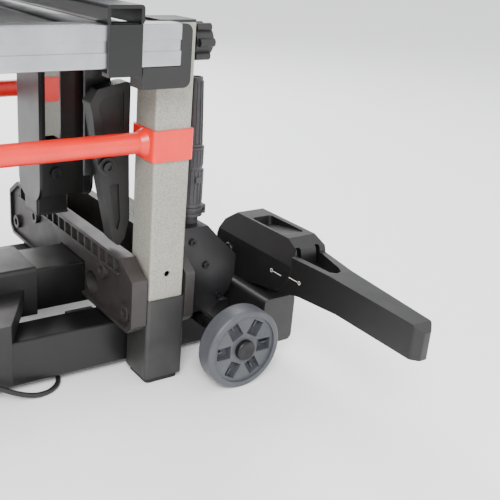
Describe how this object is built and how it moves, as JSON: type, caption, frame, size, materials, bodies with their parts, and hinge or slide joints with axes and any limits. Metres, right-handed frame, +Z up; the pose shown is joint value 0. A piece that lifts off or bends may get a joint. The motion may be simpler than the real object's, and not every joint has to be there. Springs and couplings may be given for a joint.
{
  "type": "mitre saw on stand",
  "caption": "Compound mitre saw clamped on a low wheeled stand of square posts and tubes, with a pedal arm and a dust collector with a ribbed hose nozzle.",
  "frame": {"origin": "centre of the footprint box on the floor", "axes": "+Z up, -Y the operator's side, +X towards the wheels along the rails"},
  "size_m": [0.7534, 0.779, 0.8585],
  "materials": {
    "greige_post": "hammered greige paint",
    "red_paint": "satin red powder coat",
    "black_tube": "satin black powder coat",
    "black_plastic": "fine-grained moulding",
    "ribbed_plastic": "moulded glass-filled nylon",
    "grey_plastic": "moulded wheel plastic",
    "nozzle_plastic": "ribbed moulding",
    "rubber": "matt",
    "steel": "zinc plated",
    "alloy": "anodised and machined",
    "casting": "painted die casting",
    "saw_red": "moulded nylon",
    "grip": "soft grip",
    "blade_steel": "ground steel",
    "guard_clear": "smoke grey moulding",
    "insert": "moulded insert"
  },
  "bodies": {
    "stand": {"square_posts": "greige_post", "post_boots": "black_plastic", "foot_pads": "rubber", "side_rails": "black_tube", "centre_tube": "black_tube", "cross_bracket": "black_plastic", "ribbed_plates": "ribbed_plastic", "red_bars": "red_paint", "wheel_axle": "steel", "end_beam": "black_plastic", "pedal_housing": "black_plastic", "dust_bin_front": "black_plastic", "dust_bin_body": "black_plastic", "hose_socket": "nozzle_plastic", "lift_column": "black_tube", "channel_bracket": "black_tube", "latch_hanger": "steel", "deck_rails": "alloy", "rail_end_caps": "black_plastic", "saddle_clamps": "black_tube", "saw_base": "casting", "lower_fences": "alloy", "clamp_frame": "steel", "power_box": "black_plastic", "lead_run": "rubber", "lead_coil": "rubber", "lead_plug": "rubber", "end_plugs": "black_plastic", "stand_screws": "steel"},
    "front_wheel": {"front_wheel": "grey_plastic"},
    "rear_wheel": {"rear_wheel": "grey_plastic"},
    "pedal_lever": {"pedal_lever": "black_plastic"},
    "arm_button": {"arm_release_button": "black_plastic"},
    "latch_lever": {"latch_lever": "black_plastic"},
    "front_knob": {"front_deck_knob": "black_plastic"},
    "rear_knob": {"rear_deck_knob": "black_plastic"},
    "hose_collar": {"hose_twist_collar": "nozzle_plastic", "hose_nozzle": "nozzle_plastic"},
    "dust_fan": {"dust_fan": "black_plastic"},
    "turntable": {"turntable": "casting", "kerf_plates": "insert", "turntable_pins": "steel"},
    "mitre_knob": {"mitre_lock_knob": "black_plastic"},
    "detent": {"detent_lever": "black_plastic"},
    "bevel": {"bevel_arm": "casting", "arm_pivot_pins": "steel"},
    "bevel_lock": {"bevel_lock_lever": "black_plastic"},
    "head": {"head_casting": "casting", "upper_guard": "saw_red", "motor_housing": "saw_red", "d_handle": "grip", "carry_handle": "grip"},
    "lower_guard": {"lower_guard": "guard_clear"},
    "blade": {"saw_blade": "blade_steel", "arbor_set": "steel"},
    "rotor": {"motor_rotor": "steel"},
    "trigger": {"trigger": "grip"},
    "left_fence": {"left_sliding_fence": "alloy"},
    "right_fence": {"right_sliding_fence": "alloy"},
    "clamp_screw": {"clamp_screw": "steel"}
  },
  "joints": [
    {"name": "front_wheel_spin", "type": "hinge", "parent": "stand", "child": "front_wheel", "pos_m": [0.25265, -0.1595, 0.056], "axis": [0, 1, 0], "continuous": true},
    {"name": "rear_wheel_spin", "type": "hinge", "parent": "stand", "child": "rear_wheel", "pos_m": [0.25265, 0.3705, 0.056], "axis": [0, 1, 0], "continuous": true},
    {"name": "pedal_swing", "type": "hinge", "parent": "stand", "child": "pedal_lever", "pos_m": [0.34765, -0.1205, 0.162], "axis": [1, 0, 0], "range_deg": [-25, 15]},
    {"name": "arm_button_press", "type": "slide", "parent": "stand", "child": "arm_button", "axis": [1, 0, 0], "range_m": [0, 0.003], "stiffness_N_per_m": 600},
    {"name": "latch_swing", "type": "hinge", "parent": "stand", "child": "latch_lever", "pos_m": [0.10765, -0.0405, 0.287], "axis": [0, 1, 0], "range_deg": [0, 30]},
    {"name": "front_knob_turn", "type": "hinge", "parent": "stand", "child": "front_knob", "pos_m": [0.20965, -0.0845, 0.44], "axis": [1, 0, 0], "range_deg": [0, 360]},
    {"name": "rear_knob_turn", "type": "hinge", "parent": "stand", "child": "rear_knob", "pos_m": [0.20965, 0.2955, 0.44], "axis": [1, 0, 0], "range_deg": [0, 360]},
    {"name": "hose_collar_turn", "type": "hinge", "parent": "stand", "child": "hose_collar", "pos_m": [0.23065, -0.0545, 0.26], "axis": [0, 0, 1], "range_deg": [0, 60]},
    {"name": "dust_fan_spin", "type": "hinge", "parent": "stand", "child": "dust_fan", "pos_m": [0.25465, -0.0045, 0.124], "axis": [0, 1, 0], "continuous": true},
    {"name": "mitre_turn", "type": "hinge", "parent": "stand", "child": "turntable", "pos_m": [-0.08335, 0.1055, 0.554], "axis": [0, 0, 1], "range_deg": [-47, 47]},
    {"name": "mitre_knob_turn", "type": "hinge", "parent": "turntable", "child": "mitre_knob", "pos_m": [-0.08335, -0.2245, 0.5553], "axis": [0, 1, 0], "range_deg": [0, 360]},
    {"name": "detent_press", "type": "hinge", "parent": "turntable", "child": "detent", "pos_m": [-0.08335, -0.1925, 0.525], "axis": [1, 0, 0], "range_deg": [-5, 0], "stiffness_Nm_per_rad": 1.5, "springref_deg": 17.19},
    {"name": "bevel_tilt", "type": "hinge", "parent": "turntable", "child": "bevel", "pos_m": [-0.08335, 0.2755, 0.58], "axis": [0, 1, 0], "range_deg": [-45, 0]},
    {"name": "bevel_lock_turn", "type": "hinge", "parent": "bevel", "child": "bevel_lock", "pos_m": [-0.08335, 0.3045, 0.58], "axis": [0, 1, 0], "range_deg": [0, 60]},
    {"name": "chop", "type": "hinge", "parent": "bevel", "child": "head", "pos_m": [-0.06435, 0.2815, 0.722], "axis": [1, 0, 0], "range_deg": [-42, 0]},
    {"name": "guard_swing", "type": "hinge", "parent": "head", "child": "lower_guard", "pos_m": [-0.08335, 0.0855, 0.68], "axis": [1, 0, 0], "range_deg": [0, 110]},
    {"name": "blade_spin", "type": "hinge", "parent": "head", "child": "blade", "pos_m": [-0.08335, 0.0855, 0.68], "axis": [1, 0, 0], "continuous": true},
    {"name": "rotor_spin", "type": "hinge", "parent": "head", "child": "rotor", "pos_m": [0.01365, 0.1215, 0.758], "axis": [1, 0, 0], "continuous": true},
    {"name": "trigger_pull", "type": "slide", "parent": "head", "child": "trigger", "axis": [0, -1, 0], "range_m": [0, 0.003], "stiffness_N_per_m": 700},
    {"name": "left_fence_slide", "type": "slide", "parent": "stand", "child": "left_fence", "axis": [-1, 0, 0], "range_m": [0, 0.03]},
    {"name": "right_fence_slide", "type": "slide", "parent": "stand", "child": "right_fence", "axis": [1, 0, 0], "range_m": [0, 0.03]},
    {"name": "clamp_screw_down", "type": "slide", "parent": "stand", "child": "clamp_screw", "axis": [0, 0, -1], "range_m": [0, 0.033]}
  ],
  "couplings": [
    {"joint": "guard_swing", "follows": "chop", "ratio": -2.6},
    {"joint": "rotor_spin", "follows": "blade_spin", "ratio": -4.5}
  ]
}
